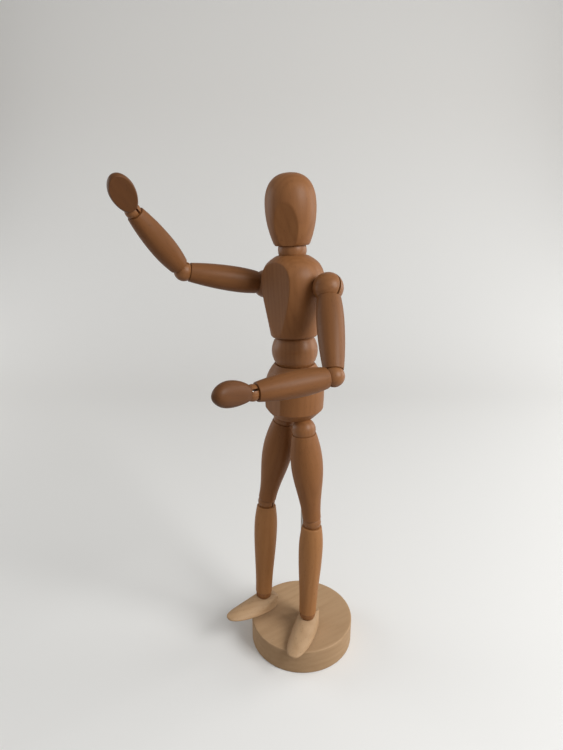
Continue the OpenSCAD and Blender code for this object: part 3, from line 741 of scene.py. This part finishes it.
closed_sheet = limb_tree.nodes.new("GeometryNodeMergeByDistance")
closed_sheet.inputs["Distance"].default_value = 0.0005
limb_tree.links.new(rolled_sheet.outputs[0], closed_sheet.inputs["Geometry"])
real_limb = limb_tree.nodes.new("GeometryNodeRealizeInstances")
limb_tree.links.new(closed_sheet.outputs[0], real_limb.inputs[0])
wooden_limb = limb_tree.nodes.new("GeometryNodeSetMaterial")
linked(limb_tree, wooden_limb, Geometry=real_limb.outputs[0], Material=limb_in.outputs["Wood"])
limb_tree.links.new(wooden_limb.outputs[0], limb_out.inputs["Limb"])


def limb(node, place, length, upper_ball, upper_rim, belly, lower_rim, lower_ball, taper, heart, pale, deep):
    """One turned limb: each rim is its radius, its distance from its ball's centre and its ease."""
    material = wood(node + "_wood", place, heart, pale, deep, ring_gap=3.6, rings=0.25, flecks=0.4,
                    polish=0.48, varnish=0.1)
    sizes = {"Length": length, "Upper Ball": upper_ball + cup_gap, "Lower Ball": lower_ball + cup_gap,
             "Bore": bore_radius, "Belly Radius": belly[0], "Belly Drop": belly[1], "Upper Rim": upper_rim[0],
             "Upper Drop": upper_rim[1], "Upper Ease": upper_rim[2], "Lower Rim": lower_rim[0],
             "Lower Drop": lower_rim[1], "Lower Ease": lower_rim[2], "Taper": taper}
    piece = shaped(node + "_wood", limb_tree, material, sizes, 0)
    turned_out = bmesh.new()
    turned_out.from_mesh(piece.data)
    bmesh.ops.recalc_face_normals(turned_out, faces=turned_out.faces)
    turned_out.to_mesh(piece.data)
    turned_out.free()
    seated(piece, place, material, node, node)


arm_rim = (7.0, 6.6, 0.4)
elbow_rim = (5.75, 3.5, 0.4)
forearm_rim = (6.0, 4.9, 0.9)
wrist_rim = (5.2, 2.3, 0.3)
hip_rim = (7.7, 2.9, 0.3)
knee_rim = (6.2, 3.2, 0.4)
shin_rim = (6.7, 3.2, 0.5)
ankle_rim = (6.0, 1.8, 0.3)
# Each belly is its radius and its distance from the upper ball's centre
upper_arm_belly = (7.9, 20)
forearm_belly = (7.4, 21)
thigh_belly = (10.4, 24)
shin_belly = (8.2, 20.5)
arm_taper = 0.0
leg_taper = 1.0
# Turn and bend of each joint, in degrees, in the posed figure
arm_pose = {"left": ((113.3, 65.9), (65.6, 74.0)), "right": ((167.9, 69.4), (-53.6, 43.4))}
leg_pose = {"left": ((-36.5, 5.4), (-175.1, 6.9)), "right": ((128.5, 11.7), (159.3, 11.9))}
forearm_place = {}
shin_place = {}
for side, out in (("left", 1), ("right", -1)):
    shoulder, elbow = arm_pose[side]
    place = chest_place @ shifted(out * shoulder_half, shoulder_behind, waist_to_shoulder)
    place = place @ spun("Y", -90 * out) @ spun("Z", shoulder[0])
    joint_ball(side + "_shoulder_ball", place, shoulder_radius, (24 * out, 20, 0))
    place = place @ spun("X", shoulder[1])
    limb(side + "_upper_arm", place, upper_arm_length, shoulder_radius, arm_rim, upper_arm_belly, elbow_rim,
         elbow_radius, arm_taper, (30 * out, 34, 0), shaded_arm_pale, shaded_arm_deep)
    place = place @ shifted(0, 0, -upper_arm_length) @ spun("Z", elbow[0])
    joint_ball(side + "_elbow_ball", place, elbow_radius, (-20 * out, 17, 0))
    place = place @ spun("X", elbow[1])
    limb(side + "_forearm", place, forearm_length, elbow_radius, forearm_rim, forearm_belly, wrist_rim,
         wrist_radius, arm_taper, (-28 * out, -41, 0), shaded_arm_pale, shaded_arm_deep)
    forearm_place[side] = place
    hip, knee = leg_pose[side]
    place = pelvis_place @ shifted(out * hip_half, 0, 0) @ spun("Z", hip[0])
    joint_ball(side + "_hip_ball", place, hip_radius, (28 * out, -14, 0))
    place = place @ spun("X", hip[1])
    limb(side + "_thigh", place, thigh_length, hip_radius, hip_rim, thigh_belly, knee_rim, knee_radius,
         leg_taper, (40 * out, 26, 0), warm_pale, warm_deep)
    place = place @ shifted(0, 0, -thigh_length) @ spun("Z", knee[0])
    joint_ball(side + "_knee_ball", place, knee_radius, (-22 * out, -19, 0))
    place = place @ spun("X", knee[1])
    limb(side + "_shin", place, shin_length, knee_radius, shin_rim, shin_belly, ankle_rim, ankle_radius,
         leg_taper, (33 * out, -37, 0), lit_shin_pale, lit_shin_deep)
    shin_place[side] = place

# Wrist balls and hands
# Each hand is a turned egg, flattened on its back and sanded to a flat palm, with a cup for the
# wrist ball and a fine hole for the wire hook that holds it. The hands are coloured darkest, as painted
# shade.
hand_length = 25.2
hand_middle = 14.0
hand_radius = 7.0
hand_rim = 4.4
hand_low = -3.2
palm_depth = 3.0
# The hand colours are darkened for the shade on the hands: painted shade.
shaded_hand_pale = (0.15, 0.058, 0.018, 1)
shaded_hand_deep = (0.113, 0.042, 0.0125, 1)
palm_slope = math.radians(7)
hand_back_radius = 9.4
hand_back_behind = 5.0
hand_back_soft = 2.4
hand_hole_end = -14.1
wrist_pose = {"left": (87.9, 20.4, 40.7), "right": (43.1, 19.3, -143.1)}
for side, out in (("left", 1), ("right", -1)):
    wrist = wrist_pose[side]
    place = forearm_place[side] @ shifted(0, 0, -forearm_length) @ spun("Z", wrist[0])
    joint_ball(side + "_wrist_ball", place, wrist_radius, (17 * out, 15, 0))
    place = place @ spun("X", wrist[1]) @ spun("Z", wrist[2])
    hand_outline = [(0, hand_hole_end), (stem_radius, hand_hole_end)]
    hand_outline += cup(wrist_radius + cup_gap, 0, hand_low, stem_radius)
    for t in np.linspace(1, 0, 24):
        wide = hand_radius - (hand_radius - hand_rim) * t * t
        hand_outline.append((wide, -hand_middle + (hand_middle + hand_low) * t))
    for a in np.linspace(0, math.pi / 2, 32)[1:-1]:
        tip = (hand_length - hand_middle) * math.sin(a)
        hand_outline.append((hand_radius * math.cos(a), -hand_middle - tip))
    hand_outline.append((0, -hand_length))
    hand = turned(side + "_hand_wood", filled(hand_outline, 0.45), around=176)
    corners = get_corners(hand)
    back = corners[:, :2] + np.array((0, hand_back_behind))
    reach = np.linalg.norm(back, axis=1)
    proud = reach - hand_back_radius
    soft = np.maximum(hand_back_soft - np.abs(proud), 0) / hand_back_soft
    kept = np.minimum(proud, 0) - soft ** 2 * hand_back_soft / 4
    on_back = np.clip(corners[:, 1] / 2.0, 0, 1)
    drawn_in = on_back * (kept - proud) / reach
    corners[:, :2] += back * drawn_in[:, None]
    set_corners(hand, corners)
    palm_out = (0, -math.cos(palm_slope), -math.sin(palm_slope))
    sanded_flat(hand, (0, -palm_depth, -hand_middle), palm_out, 0.3)
    hand_wood = wood(side + "_hand_wood", place, (21 * out, 30, 0), shaded_hand_pale, shaded_hand_deep, ring_gap=3.0,
                     rings=0.25, flecks=0.4, polish=0.48, varnish=0.1)
    seated(hand, place, hand_wood, side + "_hand", side + "_hand")

# Ankle balls and feet
# Each foot is sawn from a pale strip: a long leaf-shaped sole with a square heel, and a top that
# falls from the ankle to the toe. Its edges are eased and a hollow holds the ankle ball.
ankle_height = 12.6
toe_length = 31.2
heel_length = 12.4
foot_half = 8.3
sole_waist = 8.0
foot_edge = 0.7
foot_top = np.array(smooth([(-3, -1.5), (-9, -3), (-18, -6), (-26, -8.6), (-toe_length, -10.6)]))
foot_top = np.vstack([[(heel_length + 1, -4.5), (heel_length - 6, -1.5)], foot_top])[::-1]
ridge_radius = 9.0
ridge_slope = math.radians(16.3)
foot_around = 240
foot_hole_end = -11.1
sole_centre = np.array((0, -10.0))
sole = []
for a in (np.arange(foot_around) + 0.5) * 2 * math.pi / foot_around:
    c, s = math.cos(a), math.sin(a)
    if c > 0:
        x = foot_half * math.copysign((1 - 0.1 * c) * abs(s) ** 0.5, s)
        sole.append((x, heel_length * c ** 0.7 - sole_waist * (1 - c)))
    else:
        x = foot_half * math.copysign(abs(s) ** 0.85, s)
        sole.append((x, (toe_length - sole_waist) * c - sole_waist))
sole = np.array(sole)
sole_run = np.roll(sole, -1, axis=0) - np.roll(sole, 1, axis=0)
sole_out = np.stack([-sole_run[:, 1], sole_run[:, 0]], axis=1)
sole_out /= np.linalg.norm(sole_run, axis=1)[:, None]
sole_out *= np.sign(np.sum(sole_out * (sole - sole_centre), axis=1))[:, None]
ankle_pose = {"left": (-163.2, 1.6, 51.1), "right": (-112.8, 7.3, -167.1)}


def top_of_foot(spot):
    """Height of the foot's top: a rounded ridge that falls to the toe, and the low heel."""
    arch = np.sqrt(ridge_radius ** 2 - spot[:, 0] ** 2) - ridge_radius
    ridge = -1.5 + (arch + spot[:, 1] * math.sin(ridge_slope)) / math.cos(ridge_slope)
    return np.minimum(np.interp(spot[:, 1], foot_top[:, 0], foot_top[:, 1]), ridge)


for side, out in (("left", 1), ("right", -1)):
    ankle = ankle_pose[side]
    place = shin_place[side] @ shifted(0, 0, -shin_length) @ spun("Z", ankle[0])
    joint_ball(side + "_ankle_ball", place, ankle_radius, (19 * out, -16, 0))
    place = place @ spun("X", ankle[1]) @ spun("Z", ankle[2])
    rings_of_foot = []
    inner = sole - sole_out * foot_edge
    for share in np.linspace(0.04, 1, 10):
        spot = sole_centre + (inner - sole_centre) * share
        rings_of_foot.append(np.column_stack([spot, np.full(foot_around, -ankle_height)]))
    for a in np.linspace(0, math.pi / 2, 5)[1:]:
        spot = inner + sole_out * foot_edge * math.sin(a)
        rise = foot_edge * (1 - math.cos(a))
        rings_of_foot.append(np.column_stack([spot, np.full(foot_around, rise - ankle_height)]))
    brow = top_of_foot(sole) - foot_edge
    for share in np.linspace(0, 1, 10)[1:]:
        wall = foot_edge - ankle_height + (brow - foot_edge + ankle_height) * share
        rings_of_foot.append(np.column_stack([sole, wall]))
    for a in np.linspace(0, math.pi / 2, 6)[1:]:
        spot = inner + sole_out * foot_edge * math.cos(a)
        rings_of_foot.append(np.column_stack([spot, top_of_foot(spot) - foot_edge * (1 - math.sin(a))]))
    for share in np.linspace(1, 0.04, 44)[1:]:
        spot = sole_centre + (inner - sole_centre) * share
        rings_of_foot.append(np.column_stack([spot, top_of_foot(spot)]))
    corners = np.vstack(rings_of_foot)
    low_middle = len(corners)
    top_middle = top_of_foot(sole_centre[None, :])[0]
    ends = [(*sole_centre, -ankle_height), (*sole_centre, top_middle)]
    corners = np.vstack([corners, ends])
    faces = []
    for r in range(len(rings_of_foot) - 1):
        for i in range(foot_around):
            j = (i + 1) % foot_around
            here, above = r * foot_around, (r + 1) * foot_around
            faces.append((here + i, here + j, above + j, above + i))
    for i in range(foot_around):
        j = (i + 1) % foot_around
        faces.append((i, j, low_middle))
        faces.append((low_middle - foot_around + i, low_middle - foot_around + j, low_middle + 1))
    foot = new_piece(side + "_foot_wood", corners.tolist(), faces)
    hollowed(foot, (0, 0, 0), ankle_radius + cup_gap, 0.2)
    drilled(foot, [((0, 0, -4), (0, 0, foot_hole_end), stem_radius)])
    foot_grain = place @ spun("X", 84)
    foot_wood = wood(side + "_foot_wood", foot_grain, (25 * out, 31, 0), raw_pale, raw_deep, ring_gap=3.8,
                     rings=0.35, flecks=0.5, polish=0.48, varnish=0.0)
    seated(foot, place, foot_wood, side + "_foot", side + "_foot")

# Springs, staples and hooks
# Bent steel wire and tension springs inside the limbs. They pull every ball into its cups, and
# their bars and eyes just show in the slits.
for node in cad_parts:
    if node.endswith(("_staple", "_spring", "_springs", "_hook")):
        in_steel(node)

# Floor, light and camera
# A plain pale sweep, a soft window light from the front right, weaker lights from behind on both
# sides and light all round, and the camera where the photograph was taken from.
sweep_half = 2.5
sweep_front = -1.6
sweep_bend_start = 0.5
sweep_bend = 0.5
sweep_top = 2.4
lamp_white = (1.0, 0.99, 0.97)
sweep_bounce = (0.26, 0.21, 0.16, 1)
sweep_shown = (0.88, 0.89, 0.89, 1)
sweep_corners = []
sweep_faces = []
sweep_side = [(sweep_front, 0.0), (sweep_bend_start, 0.0)]
for a in np.linspace(0, math.pi / 2, 13)[1:]:
    sweep_side.append((sweep_bend_start + sweep_bend * math.sin(a), sweep_bend * (1 - math.cos(a))))
sweep_side.append((sweep_bend_start + sweep_bend, sweep_top))
for y, z in sweep_side:
    sweep_corners.extend([(-sweep_half, y, z), (sweep_half, y, z)])
for i in range(len(sweep_side) - 1):
    sweep_faces.append((2 * i, 2 * i + 1, 2 * i + 3, 2 * i + 2))
sweep_mesh = bpy.data.meshes.new("pale_sweep")
sweep_mesh.from_pydata(sweep_corners, [], sweep_faces)
sweep_mesh.shade_smooth()
sweep = bpy.data.objects.new("pale_sweep", sweep_mesh)
bpy.context.scene.collection.objects.link(sweep)
sweep_paint = bpy.data.materials.new("pale_paint")
sweep_paint.use_nodes = True
sweep_tree = sweep_paint.node_tree
sweep_shader = sweep_tree.nodes["Principled BSDF"]
sweep_shader.inputs["Roughness"].default_value = 0.9
sweep_rays = sweep_tree.nodes.new("ShaderNodeLightPath")
# The sweep is pale where it is seen or mirrored, and throws back only a little warm light
ray_kinds = sweep_rays.outputs
seen_rays = reckon(sweep_tree, "MAXIMUM", ray_kinds["Is Camera Ray"], ray_kinds["Is Glossy Ray"])
seen_rays = reckon(sweep_tree, "MAXIMUM", seen_rays, ray_kinds["Is Transmission Ray"])
sweep_colour = sweep_tree.nodes.new("ShaderNodeMix")
sweep_colour.data_type = "RGBA"
sweep_colour.inputs[6].default_value = sweep_bounce
sweep_colour.inputs[7].default_value = sweep_shown
sweep_tree.links.new(seen_rays, sweep_colour.inputs[0])
sweep_tree.links.new(sweep_colour.outputs[2], sweep_shader.inputs["Base Color"])
sweep_mesh.materials.append(sweep_paint)

world = bpy.data.worlds.new("room_light")
world.use_nodes = True
world.node_tree.nodes["Background"].inputs["Color"].default_value = (*lamp_white, 1)
world.node_tree.nodes["Background"].inputs["Strength"].default_value = 0.4
bpy.context.scene.world = world


def soft_light(name, spot, aim, size, power, colour):
    """A soft square light that faces the point it is aimed at."""
    lamp = bpy.data.lights.new(name, "AREA")
    lamp.size = size
    lamp.energy = power
    lamp.color = colour
    holder = bpy.data.objects.new(name, lamp)
    holder.location = spot
    holder.rotation_euler = (Vector(aim) - Vector(spot)).to_track_quat("-Z", "Y").to_euler()
    bpy.context.scene.collection.objects.link(holder)


soft_light("window", (0.74, -0.52, 0.75), (0, 0, 0.15), 0.6, 9, lamp_white)
soft_light("right_wall", (0.95, 0.35, 0.4), (0, 0, 0.18), 0.6, 3.5, lamp_white)
soft_light("left_wall", (-0.95, 0.35, 0.4), (0, 0, 0.18), 0.6, 2.5, lamp_white)

camera = bpy.data.cameras.new("camera")
camera.sensor_fit = "VERTICAL"
camera.sensor_height = 36
camera.lens = 27.02
camera_holder = bpy.data.objects.new("camera", camera)
camera_holder.location = (-0.01507, -0.3397, 0.32645)
camera_holder.rotation_euler = (math.radians(90 - 19.236), 0, 0)
bpy.context.scene.collection.objects.link(camera_holder)
bpy.context.scene.camera = camera_holder
bpy.context.scene.view_settings.view_transform = "Standard"

bpy.context.view_layer.update()
